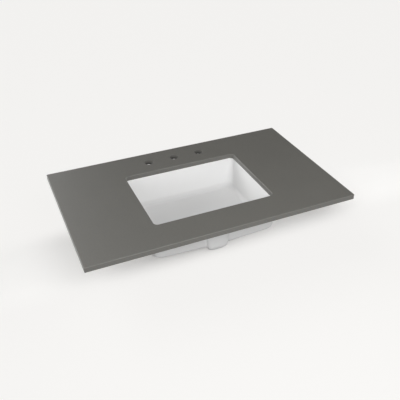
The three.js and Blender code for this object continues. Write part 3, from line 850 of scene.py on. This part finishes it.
class BasinGrid:
    """The columns of the basin's grid and the rings that they cross.

    A column's place in plan is x = side_x * (half length - radius) + arc_x * radius
    + width * half the channel's width + root * the channel's fillet, and
    y = side_y * (half depth - radius) + arc_y * radius. On the channel it stands out from the wall by
    crown * the channel's height + foot * the fillet."""

    def __init__(self, sizes):
        self.sizes = sizes
        _, self.half_length, self.half_depth = mouth(sizes)
        self.flange_top = BASIN_HIGH.z
        self.flange_under = BASIN_HIGH.z - sizes.flange_thickness
        self.boss_top = sizes.floor_level - sizes.floor_thickness
        columns = []
        signs = ((1, 1), (-1, 1), (-1, -1), (1, -1))
        turn = shares(CORNER_STEPS) * QUARTER
        for corner, (side_x, side_y) in enumerate(signs):
            start = corner * QUARTER
            columns.append(self.columns(side_x, side_y, np.cos(start + turn), np.sin(start + turn)))
            next_x, next_y = signs[(corner + 1) % len(signs)]
            if side_y < 0 and next_y < 0:
                columns.extend(self.front_columns())
                continue
            run = shares(SIDE_STEPS)[1:-1]
            end = start + QUARTER
            columns.append(self.columns(side_x + (next_x - side_x) * run, side_y + (next_y - side_y) * run,
                                        np.cos(end), np.sin(end)))
        joined = np.concatenate(columns, axis=1)
        (self.side_x, self.side_y, self.arc_x, self.arc_y,
         self.width, self.root, self.crown, self.foot, self.on_channel) = joined
        self.on_channel = self.on_channel > 0
        self.rise = self.crown * sizes.channel_height + self.foot * sizes.channel_root

    def columns(self, side_x, side_y, arc_x, arc_y, width=0, root=0, crown=0, foot=0, on_channel=0):
        """The constants of some columns, one row for each constant."""
        return np.stack(np.broadcast_arrays(np.atleast_1d(side_x), side_y, arc_x, arc_y, width, root,
                                            crown, foot, on_channel)).astype(float)

    def front_columns(self):
        """The front side: a run to the channel, the channel's section and a run from it. The section is a
        superellipse at even polar angles, with a concave quarter circle at each foot."""
        sizes = self.sizes
        run = shares(FRONT_STEPS)[1:-1]
        power = sizes.channel_power
        start_rise = sizes.channel_root / sizes.channel_height
        start_across = (1 - start_rise ** power) ** (1 / power)
        start = math.atan2(start_rise, start_across)
        polar = math.pi - start - (math.pi - 2 * start) * shares(DOME_STEPS)
        dome_across, dome_rise = superellipse(polar, power)
        dome_across = dome_across / start_across
        turn = shares(ROOT_STEPS)[:-1] * QUARTER
        left_root = -(1 - np.sin(turn))
        root_rise = 1 - np.cos(turn)
        return [
            self.columns(run - 1, -1, 0, -1, width=-run, root=-run),
            self.columns(0, -1, 0, -1, width=-1, root=left_root, foot=root_rise, on_channel=1),
            self.columns(0, -1, 0, -1, width=dome_across, crown=dome_rise, on_channel=1),
            self.columns(0, -1, 0, -1, width=1, root=-left_root[::-1], foot=root_rise[::-1], on_channel=1),
            self.columns(run, -1, 0, -1, width=1 - run, root=1 - run),
        ]

    def plan(self, offset, radius, channel):
        """Rings of rounded rectangles a given way out from the mouth, with the channel so wide."""
        offset, radius, channel = (np.atleast_1d(value)[:, None] for value in (offset, radius, channel))
        x = (self.side_x * (self.half_length + offset - radius) + self.arc_x * radius
             + self.width * channel / 2 + self.root * self.sizes.channel_root)
        y = self.side_y * (self.half_depth + offset - radius) + self.arc_y * radius
        return x, y

    def round_plan(self, radius):
        """Rings of circles about the outlet. The channel's columns keep their x outside the boss, and the
        others share the rest of the turn evenly."""
        radius = np.atleast_1d(radius)[:, None]
        boss = self.sizes.boss / 2
        across = self.width * self.sizes.channel_outlet / 2 + self.root * self.sizes.channel_root
        across = across[self.on_channel]
        on_channel = -QUARTER + np.arcsin(across / np.maximum(radius, boss))
        first = int(np.argmax(self.on_channel))
        count = len(across)
        rest = len(self.width) - count
        even = np.arange(1, rest + 1) / (rest + 1)
        start = on_channel[:, -1:]
        span = FULL_TURN - (on_channel[:, -1:] - on_channel[:, :1])
        turn = np.roll(np.concatenate((on_channel, start + span * even), axis=1), first, axis=1)
        return radius * np.cos(turn), radius * np.sin(turn)

    def floor_at(self, x, y, level, fall):
        """Height of a floor: a shallow cone that falls to the outlet's seat."""
        return level + fall * np.maximum(np.hypot(x, y) - self.sizes.seat / 2, 0)

    def wall_rings(self, top, offset, lean, corners, foot, level, fall, channels):
        """A face of the wall from a level down: it draws in evenly by its lean, then turns through a
        quarter circle on to the floor, while its corners open out. Corners and channels are the corners'
        radius and the channel's width at the top, at the wall's foot and where that turn ends."""
        top_corner, wall_corner, foot_corner = corners
        channel, channel_foot, channel_under = channels
        down = shares(WALL_STEPS)
        foot_x, foot_y = self.plan(offset - lean, wall_corner, channel_foot)
        foot_level = self.floor_at(foot_x, foot_y, level, fall)
        x, y = self.plan(offset - lean * down, top_corner + (wall_corner - top_corner) * down,
                         channel + (channel_foot - channel) * down)
        z = top + (foot_level + foot - top) * down[:, None]
        inward = shares(FOOT_STEPS)[1:]
        turn = inward * QUARTER
        turn_x, turn_y = self.plan(offset - lean - foot * (1 - np.cos(turn)),
                                   wall_corner + (foot_corner - wall_corner) * inward,
                                   channel_foot + (channel_under - channel_foot) * inward)
        turn_z = (foot_level * (1 - inward[:, None])
                  + self.floor_at(turn_x, turn_y, level, fall) * inward[:, None]
                  + foot * (1 - np.sin(turn))[:, None])
        return (np.concatenate((x, turn_x)), np.concatenate((y, turn_y)), np.concatenate((z, turn_z)))

    def floor_rings(self, from_x, from_y, radius, level, fall):
        """Rings from the foot of a wall in to a circle round the outlet, on that floor's cone."""
        inward = shares(FLOOR_STEPS)[1:, None]
        end_x, end_y = self.round_plan(radius)
        x = from_x * (1 - inward) + end_x * inward
        y = from_y * (1 - inward) + end_y * inward
        return x, y, self.floor_at(x, y, level, fall)

    def outer_wall(self, top, channels):
        """The outer face of the walls from a level down, and round its foot."""
        sizes = self.sizes
        corners = (sizes.mouth_corner + sizes.wall, sizes.outside_corner, sizes.outside_foot_corner)
        return self.wall_rings(top, sizes.wall, sizes.outside_lean, corners, sizes.outside_foot,
                               self.boss_top, sizes.underside_fall, channels)

    def inside(self):
        """The bowl, from under the lip down to the outlet's seat."""
        sizes = self.sizes
        corners = (sizes.mouth_corner, sizes.wall_corner, sizes.bowl_foot_corner)
        wall = self.wall_rings(self.flange_top - sizes.lip, 0, sizes.wall_lean, corners, sizes.bowl_foot,
                               sizes.floor_level, sizes.floor_fall, (sizes.channel,) * 3)
        floor = self.floor_rings(wall[0][-1], wall[1][-1], sizes.seat / 2, sizes.floor_level,
                                 sizes.floor_fall)
        return tuple(np.concatenate(pair) for pair in zip(wall, floor))

    def outside(self):
        """The basin's outside, from under the flange to the boss's fillet, with the channel on it. The
        channel's columns stand out along the normal of the line that they follow."""
        sizes = self.sizes
        wall = self.outer_wall(self.flange_under - sizes.flange_foot,
                               (sizes.channel, sizes.channel_foot, sizes.channel_under))
        floor = self.floor_rings(wall[0][-1], wall[1][-1], sizes.boss / 2 + sizes.boss_foot, self.boss_top,
                                 sizes.underside_fall)
        x, y, z = (np.concatenate(pair) for pair in zip(wall, floor))
        run_y = np.gradient(y, axis=0)
        run_z = np.gradient(z, axis=0)
        run = np.hypot(run_y, run_z)
        return x, y + self.rise * run_z / run, z - self.rise * run_y / run

    def outlet(self):
        """Circles through the outlet: its seat, which dips as a smooth step, its bore, the boss's foot and
        side, and the boss's fillet, which gives way to the channel where that hangs lower."""
        sizes = self.sizes
        dip = shares(EDGE_STEPS)
        turn = dip * QUARTER
        opening = np.sin(turn)
        closing = np.cos(turn)
        seat = sizes.seat / 2
        bore = sizes.outlet / 2
        boss = sizes.boss / 2
        seat_level = sizes.floor_level - sizes.seat_depth
        edge = sizes.bore_edge
        radii = np.concatenate((
            seat - sizes.seat_depth * dip[1:],
            bore + edge * (1 - opening),
            bore + edge * (1 - closing),
            boss - sizes.boss_edge * (1 - opening)))
        levels = np.concatenate((
            seat_level + sizes.seat_depth * (1 - dip[1:] ** 2 * (3 - 2 * dip[1:])),
            seat_level - edge * (1 - closing),
            edge * (1 - opening),
            sizes.boss_edge * (1 - closing)))
        x, y = self.round_plan(radii)
        z = np.broadcast_to(levels[:, None], x.shape)
        fillet = np.concatenate(([0], turn[1:-1]))
        fillet_x, fillet_y = self.round_plan(boss + sizes.boss_foot * (1 - np.cos(fillet)))
        under = self.boss_top - self.rise
        fillet_level = self.boss_top - sizes.boss_foot * (1 - np.sin(fillet))
        fillet_z = np.minimum(fillet_level[:, None], under)
        return (np.concatenate((x, fillet_x)), np.concatenate((y, fillet_y)), np.concatenate((z, fillet_z)))

    def flange(self):
        """The flange, from its fillet out, round its edge and over its top to the lip's inner edge."""
        sizes = self.sizes
        turn = shares(EDGE_STEPS) * QUARTER
        opening = np.sin(turn)
        closing = np.cos(turn)
        edge = sizes.flange_edge
        offsets = np.concatenate((
            sizes.wall + sizes.flange_foot * (1 - closing[1:]),
            sizes.flange_width - edge * (1 - opening),
            sizes.flange_width - edge * (1 - closing),
            sizes.lip * (1 - opening[:-1])))
        levels = np.concatenate((
            self.flange_under - sizes.flange_foot * (1 - opening[1:]),
            self.flange_under + edge * (1 - closing),
            self.flange_top - edge * (1 - opening),
            self.flange_top - sizes.lip * (1 - closing[:-1])))
        x, y = self.plan(offsets, sizes.mouth_corner + offsets, sizes.channel)
        channel_front = -(self.half_depth + sizes.wall) - self.rise
        below_edge = (np.arange(len(offsets)) < EDGE_STEPS)[:, None] & self.on_channel
        y = np.where(below_edge, np.minimum(y, channel_front), y)
        return x, y, np.broadcast_to(levels[:, None], x.shape)

    def shell(self, middle_y):
        """The whole basin as one closed run of rings."""
        outside = tuple(value[::-1] for value in self.outside())
        stretches = (self.inside(), self.outlet(), outside, self.flange())
        x, y, z = (np.concatenate(values) for values in zip(*stretches))
        return grid_part(x, y + middle_y, z, rows_close=True)

    def passage(self, middle_y):
        """The hollow of the overflow channel: half a superellipse on the wall's outer face, carried down
        the wall, round its foot and along the underside into the outlet's bore."""
        sizes = self.sizes
        _, y, z = self.outer_wall(self.flange_top - sizes.passage_top, (sizes.channel,) * 3)
        middle = int(np.argmax(self.rise))
        end_y = -sizes.outlet / 2 + sizes.slot_height / 2
        line_y = np.append(y[:, middle], end_y)
        line_z = np.append(z[:, middle], self.boss_top)
        along = np.concatenate(([0], np.cumsum(np.hypot(np.diff(line_y), np.diff(line_z)))))
        half_width = (sizes.passage + (sizes.passage_outlet - sizes.passage) * along / along[-1]) / 2
        run_y = np.gradient(line_y)
        run_z = np.gradient(line_z)
        run = np.hypot(run_y, run_z)
        across, rise = superellipse(shares(DOME_STEPS) * math.pi, sizes.channel_power)
        rise = rise * sizes.passage_height
        return closed_run(half_width[:, None] * across,
                          line_y[:, None] + middle_y + rise * (run_z / run)[:, None],
                          line_z[:, None] - rise * (run_y / run)[:, None])

    def overflow_slot(self, middle_y):
        """The overflow slot: a level slot outline carried out through the wall, opening in a quarter circle
        at the wall's inner face, which leans."""
        sizes = self.sizes
        edge = sizes.slot_edge
        half_height = sizes.slot_height / 2
        turn = shares(EDGE_STEPS) * QUARTER
        growths = np.concatenate(([0], edge * (1 - np.cos(turn)), [edge]))
        reaches = np.concatenate(([-sizes.wall - sizes.passage_height / 2], -edge * (1 - np.sin(turn)),
                                  [2 * edge]))
        outline = grown_rectangles(sizes.slot_length / 2, half_height, half_height, growths)
        level = self.flange_top - sizes.slot_drop + outline[:, :, 1]
        wall_top = self.flange_top - sizes.lip
        wall_foot = sizes.floor_level + sizes.bowl_foot + sizes.floor_fall * self.half_depth
        lean = sizes.wall_lean * (wall_top - level) / (wall_top - wall_foot)
        y = middle_y - self.half_depth + lean + reaches[:, None]
        return closed_run(outline[:, :, 0], y, level)


class VANITY_OT_china_basin(bpy.types.Operator):
    """Make the china basin with its flange, outlet and overflow"""
    bl_idname = "vanity.china_basin"
    bl_label = "China Basin"

    def execute(self, context):
        sizes = context.scene.vanity_basin
        middle_y = mouth(sizes)[0][1]
        grid = BasinGrid(sizes)
        basin = made_object("china_basin", [grid.shell(middle_y)])
        cutters = [made_object("passage", [grid.passage(middle_y)]),
                   made_object("overflow_slot", [grid.overflow_slot(middle_y)])]
        finished(combined(basin, cutters, "DIFFERENCE"), "basin", "china")
        return {"FINISHED"}


class VANITY_OT_sealant(bpy.types.Operator):
    """Make the ring of sealant between the slab and the basin's flange"""
    bl_idname = "vanity.sealant"
    bl_label = "Sealant"

    def execute(self, context):
        sizes = context.scene.vanity_fixings
        corner = context.scene.vanity_stone.cutout_corner
        middle, half_length, half_depth = mouth(context.scene.vanity_basin)
        turn = shares(EDGE_STEPS * 2) * math.pi
        hollow = sizes.bead_setback + sizes.bead_tooling * np.sin(turn)
        swell = BEAD_HIGH.x - half_length - sizes.bead_swell * (1 - np.sin(turn))
        rise = (1 - np.cos(turn)) / 2
        offsets = np.concatenate((hollow, swell[::-1]))
        levels = BEAD_LOW.z + (BEAD_HIGH.z - BEAD_LOW.z) * np.concatenate((rise, rise[::-1]))
        rings = middle + grown_rectangles(half_length, half_depth, corner, offsets)
        part = grid_part(rings[:, :, 0], rings[:, :, 1], levels[:, None], rows_close=True)
        finished(made_object("sealant_ring", [part]), "sealant_bead", "sealant")
        return {"FINISHED"}


def make_at_clips(shape, kind, name, slot):
    """One piece at each clip's place, for the node of that kind there. A function makes its shape from the
    piece's name, the node and the small parts' sizes."""
    sizes = bpy.context.scene.vanity_fixings
    for place in CLIP_PLACES:
        node = f"{kind}_{place}"
        finished(shape(f"{name}_{place}", node, sizes), node, slot)
    return {"FINISHED"}


class VANITY_OT_inserts(bpy.types.Operator):
    """Make the four knurled brass inserts in the slab's underside"""
    bl_idname = "vanity.inserts"
    bl_label = "Inserts"

    def execute(self, context):
        return make_at_clips(self.sleeve, "insert", "brass_insert", "brass")

    def sleeve(self, name, node, sizes):
        """A revolved sleeve. The lines pressed into its side are the product of two sine waves, one rising
        round it and one falling."""
        low, high, middle, outer = round_box(node)
        inner = sizes.bore / 2
        rows = shares(SIDE_STEPS)
        side = np.stack((np.full(len(rows), outer), low.z + (high.z - low.z) * rows), axis=1)
        profile = np.concatenate((((inner, low.z),), side, ((inner, high.z),)))
        turn = shares(ROUND_STEPS)[:-1]
        height = (profile[:, 1:] - low.z) / (high.z - low.z)
        rising = np.sin(FULL_TURN * (KNURLS_ROUND * turn + KNURLS_UP * height))
        falling = np.sin(FULL_TURN * (KNURLS_ROUND * turn - KNURLS_UP * height))
        on_side = (profile[:, :1] > inner) & (height > 0) & (height < 1)
        knurl = sizes.insert_rib * np.abs(rising * falling) * on_side
        return made_object(name, [revolved(profile, middle, knurl)])


class VANITY_OT_studs(bpy.types.Operator):
    """Make the four threaded studs"""
    bl_idname = "vanity.studs"
    bl_label = "Studs"

    def execute(self, context):
        return make_at_clips(self.thread, "stud", "threaded_stud", "plated_steel")

    def thread(self, name, node, sizes):
        """A rod whose radius falls from crest to root as a triangle wave of height over pitch less turn,
        held down by a chamfer at both ends."""
        low, high, middle, crest = round_box(node)
        rows = int(round((high.z - low.z) / sizes.thread_pitch * THREAD_ROWS))
        height = (shares(rows) * (high.z - low.z))[:, None]
        turn = shares(THREAD_STEPS)[:-1]
        phase = (height / sizes.thread_pitch - turn) % 1
        radius = crest - sizes.thread_depth * (1 - np.abs(2 * phase - 1))
        from_end = np.minimum(height, height[-1] - height)
        radius = np.minimum(radius, crest - sizes.stud_chamfer + from_end)
        x = middle[0] + radius * np.cos(turn * FULL_TURN)
        y = middle[1] + radius * np.sin(turn * FULL_TURN)
        return made_object(name, [closed_run(x, y, low.z + height + np.zeros_like(x))])


class VANITY_OT_washers(bpy.types.Operator):
    """Make the four washers"""
    bl_idname = "vanity.washers"
    bl_label = "Washers"

    def execute(self, context):
        return make_at_clips(self.ring, "washer", "flat_washer", "plated_steel")

    def ring(self, name, node, sizes):
        """A revolved rectangle with rounded corners."""
        low, high, middle, outer = round_box(node)
        inner = sizes.bore / 2
        corners = ((inner, low.z), (outer, low.z), (outer, high.z), (inner, high.z))
        return made_object(name, [revolved(rounded_profile(corners, sizes.small_edge), middle)])


class VANITY_OT_clips(bpy.types.Operator):
    """Make the four bent clips that hold the flange up"""
    bl_idname = "vanity.clips"
    bl_label = "Clips"

    def execute(self, context):
        return make_at_clips(self.strip, "clip", "bent_clip", "plated_steel")

    def strip(self, name, node, sizes):
        """A strip cut flat, with round corners and a slot for the stud, and then bent up a quarter turn."""
        low, high, _, half_width = round_box(node)
        middle_x = (low.x + high.x) / 2
        out = -1 if "front" in node else 1
        strip = sizes.clip_strip
        outer_bend = sizes.clip_bend + strip
        bar = high.y - low.y - outer_bend
        bend = outer_bend * QUARTER
        leg = high.z - low.z - outer_bend
        corner = sizes.clip_corner
        inner_end = low.y if out > 0 else high.y
        stud_at = abs(round_box(node.replace("clip", "stud"))[2][1] - inner_end)
        bends = bar + bend * shares(BEND_STEPS)

        def outline(growth):
            turn = shares(EDGE_STEPS) * QUARTER
            start_corner = np.stack((corner - (corner + growth) * np.cos(turn),
                                     half_width - corner + (corner + growth) * np.sin(turn)), axis=1)
            side = np.stack((bends, np.full(len(bends), half_width + growth)), axis=1)
            end_side = np.array(((bar + bend + leg + growth, half_width + growth),))
            upper = np.concatenate((start_corner, side, end_side))
            lower = upper[::-1] * (1, -1)
            return np.concatenate((lower, upper))

        def slot(growth):
            reach = sizes.clip_slot / 2 - growth
            radius = sizes.bore / 2 - growth
            return np.array((stud_at, 0)) + rounded_rectangle(reach, radius, radius, EDGE_STEPS * 2)

        def bent(points):
            """Flat points on the bent strip: straight, a quarter circle, straight up."""
            along, across, rise = points.T
            turn = np.clip((along - bar) / bend, 0, 1) * QUARTER
            radius = outer_bend - rise
            past = np.maximum(along - bar - bend, 0)
            reach = np.minimum(along, bar) + radius * np.sin(turn)
            level = low.z + np.where(along <= bar, rise, outer_bend - radius * np.cos(turn)) + past
            return np.stack((middle_x + across, inner_end + out * reach, level), axis=1)

        count = len(outline(0))
        upper_side = count // 2 + EDGE_STEPS + 1 + np.arange(len(bends))
        crossings = np.stack((upper_side, count - 1 - upper_side), axis=1).tolist()
        edges = [(edge, sizes.clip_edge, sizes.clip_edge) for edge in (outline, slot)]
        flat = plate(edges, 0, strip, crossings=crossings)
        return made_object(name, [(bent(points), faces) for points, faces in flat])


class VANITY_OT_wing_nuts(bpy.types.Operator):
    """Make the four wing nuts"""
    bl_idname = "vanity.wing_nuts"
    bl_label = "Wing Nuts"

    def execute(self, context):
        return make_at_clips(self.nut, "wing_nut", "cast_wing_nut", "plated_steel")

    def nut(self, name, node, sizes):
        """A revolved hub, a straight collar with a cone under it, joined with its two wings."""
        low, high, middle, tip = round_box(node)
        bottom = high.z - sizes.nut_height
        collar = high.z - sizes.nut_collar
        corners = ((sizes.bore / 2, high.z), (sizes.bore / 2, bottom), (sizes.nut_end / 2, bottom),
                   (sizes.nut_base / 2, collar), (sizes.nut_base / 2, high.z))
        hub = revolved(rounded_profile(corners, sizes.small_edge), middle)
        wings = [made_object(f"wing_{side}", [self.wing(sizes, low, high, middle, tip, side)])
                 for side in (-1, 1)]
        return combined(made_object(name, [hub]), wings, "UNION")

    def wing(self, sizes, low, high, middle, tip, side):
        """One wing: a superellipse section carried out from the hub along a line that drops and rounds
        off at its tip. Its height swells to the tip, and its thickness falls a little."""
        start = sizes.wing_root
        along = 1 - (1 - shares(WING_STEPS)) ** 2
        reach = start + (tip - start) * along
        near_tip = np.sqrt(np.clip((tip - reach) / (tip - start) / WING_TIP_SHARE, 0, 1))
        end = np.sqrt(1 - (1 - near_tip) ** 2)
        upper = high.z - sizes.nut_collar - (high.z - low.z) * sizes.wing_slope * along ** 2
        lower_start = high.z - sizes.nut_height + sizes.wing_lift
        lower = lower_start - (lower_start - low.z) * along
        half_height = (upper - lower) / 2 * end
        half_thickness = sizes.wing_thickness / 2 * (1 - sizes.wing_taper * along) * end
        turn = shares(WING_SIDES)[:-1] * FULL_TURN
        across = np.sign(np.cos(turn)) * np.abs(np.cos(turn)) ** WING_POWER
        rise = np.sign(np.sin(turn)) * np.abs(np.sin(turn)) ** WING_POWER
        x = middle[0] + side * np.broadcast_to(reach[:, None], (len(reach), WING_SIDES))
        y = middle[1] + half_thickness[:, None] * across
        z = ((upper + lower) / 2)[:, None] + half_height[:, None] * rise
        return closed_run(x, y, z)


def direction(heading, height):
    """The way to a point at a heading, turned from +Y towards +X, and at a height above the horizon."""
    return Vector((math.sin(heading) * math.cos(height), math.cos(heading) * math.cos(height),
                   math.sin(height)))


class VANITY_OT_studio(bpy.types.Operator):
    """Make the floor, the lamps, the soft sky and the camera"""
    bl_idname = "vanity.studio"
    bl_label = "Studio"

    def execute(self, context):
        studio = context.scene.vanity_studio
        corner = np.array((-1, 1)) * studio.floor_reach
        floor = made_object("studio_floor", [grid_part(corner[None, :], corner[:, None], np.zeros((2, 2)),
                                                       columns_close=False)])
        floor.data.materials.append(finish_of("floor"))
        self.softbox(context, studio)
        for name, (*_, mirrored) in FAR_LAMPS.items():
            far = self.lamp(context, studio, name, "SUN")
            far.data.angle = getattr(studio, f"{name}_width")
            far.visible_glossy = mirrored
        self.sky(context, studio)
        self.camera(context, studio)
        context.scene.view_settings.view_transform = "Standard"
        return {"FINISHED"}

    def lamp(self, context, studio, name, kind):
        """A lamp turned to shine from its heading and height."""
        lamp = bpy.data.lights.new(name, kind)
        lamp.energy = getattr(studio, f"{name}_strength")
        placed = bpy.data.objects.new(name, lamp)
        source = direction(getattr(studio, f"{name}_heading"), getattr(studio, f"{name}_height"))
        placed.rotation_mode = "QUATERNION"
        placed.rotation_quaternion = source.to_track_quat("Z", "Y")
        context.scene.collection.objects.link(placed)
        return placed

    def softbox(self, context, studio):
        """The key lamp: a round softbox, at its distance from the middle of the slab's top."""
        box = self.lamp(context, studio, "key", "AREA")
        box.data.shape = "DISK"
        box.data.size = studio.key_width
        source = direction(studio.key_heading, studio.key_height)
        box.location = source * studio.key_distance + Vector((0, 0, STONE_HIGH.z))

    def sky(self, context, studio):
        """A little light from all round. The camera finds the pale backdrop there; a ray off a glossy face
        or through a clear one finds it up to a height, and the dim ceiling above it."""
        colours = context.scene.vanity_colours
        finish = Finish(bpy.data.worlds.new("studio_sky"))
        height = finish.axes(finish.node("ShaderNodeTexCoord", output="Generated"))[2]
        top = math.sin(studio.backdrop_height)
        camera = finish.node("ShaderNodeLightPath", output="Is Camera Ray")
        seen = finish.mixed(height.above(top / 2, top) * (1 - camera), colours.backdrop, colours.ceiling)
        lighting = finish.node("ShaderNodeBackground", None,
                               {"Color": (1, 1, 1), "Strength": studio.sky_strength})
        backdrop = finish.node("ShaderNodeBackground", None, {"Color": seen, "Strength": 1})
        blend = finish.blended(finish.looked_at(), lighting, backdrop)
        finish.node("ShaderNodeOutputWorld", None, {"Surface": blend})
        context.scene.world = finish.owner

    def camera(self, context, studio):
        """The camera at the photograph's viewing angle."""
        lens = bpy.data.cameras.new("camera")
        lens.sensor_width = studio.sensor_width
        lens.lens = studio.focal_length
        placed = bpy.data.objects.new("camera", lens)
        forward = direction(studio.camera_heading, -studio.camera_pitch)
        right = forward.cross(Vector((0, 0, 1))).normalized()
        matrix = Matrix((right, right.cross(forward), -forward)).transposed().to_4x4()
        matrix.translation = (studio.camera_x, studio.camera_y, studio.camera_z)
        placed.matrix_world = matrix
        context.scene.collection.objects.link(placed)
        context.scene.camera = placed


OPERATORS = (VANITY_OT_stone_slab, VANITY_OT_china_basin, VANITY_OT_sealant, VANITY_OT_inserts,
             VANITY_OT_studs, VANITY_OT_clips, VANITY_OT_washers, VANITY_OT_wing_nuts, VANITY_OT_studio)


class VANITY_PT_sidebar(bpy.types.Panel):
    """Lists the operators in the order in which they build the vanity top, and then all the settings"""
    bl_idname = "VANITY_PT_sidebar"
    bl_label = "Vanity Top"
    bl_space_type = "VIEW_3D"
    bl_region_type = "UI"
    bl_category = "Vanity Top"

    def draw(self, context):
        for operator in OPERATORS:
            self.layout.operator(operator.bl_idname)
        for name, group in PROPERTY_GROUPS.items():
            box = self.layout.box()
            for setting in group.__annotations__:
                box.prop(getattr(context.scene, name), setting)


PROPERTY_GROUPS = {
    "vanity_stone": VanityStoneSizes,
    "vanity_basin": VanityBasinSizes,
    "vanity_fixings": VanityFixingSizes,
    "vanity_colours": VanityColours,
    "vanity_studio": VanityStudio,
}


def register():
    """Add the properties, the operators and the panel."""
    for name, group in PROPERTY_GROUPS.items():
        bpy.utils.register_class(group)
        setattr(bpy.types.Scene, name, bpy.props.PointerProperty(type=group))
    for each in (*OPERATORS, VANITY_PT_sidebar):
        bpy.utils.register_class(each)


def unregister():
    """Take them away again."""
    for each in (VANITY_PT_sidebar, *reversed(OPERATORS)):
        bpy.utils.unregister_class(each)
    for name, group in PROPERTY_GROUPS.items():
        delattr(bpy.types.Scene, name)
        bpy.utils.unregister_class(group)


def main():
    """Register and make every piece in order."""
    register()
    for operator in OPERATORS:
        category, name = operator.bl_idname.split(".")
        getattr(getattr(bpy.ops, category), name)()


if __name__ == "__main__":
    main()
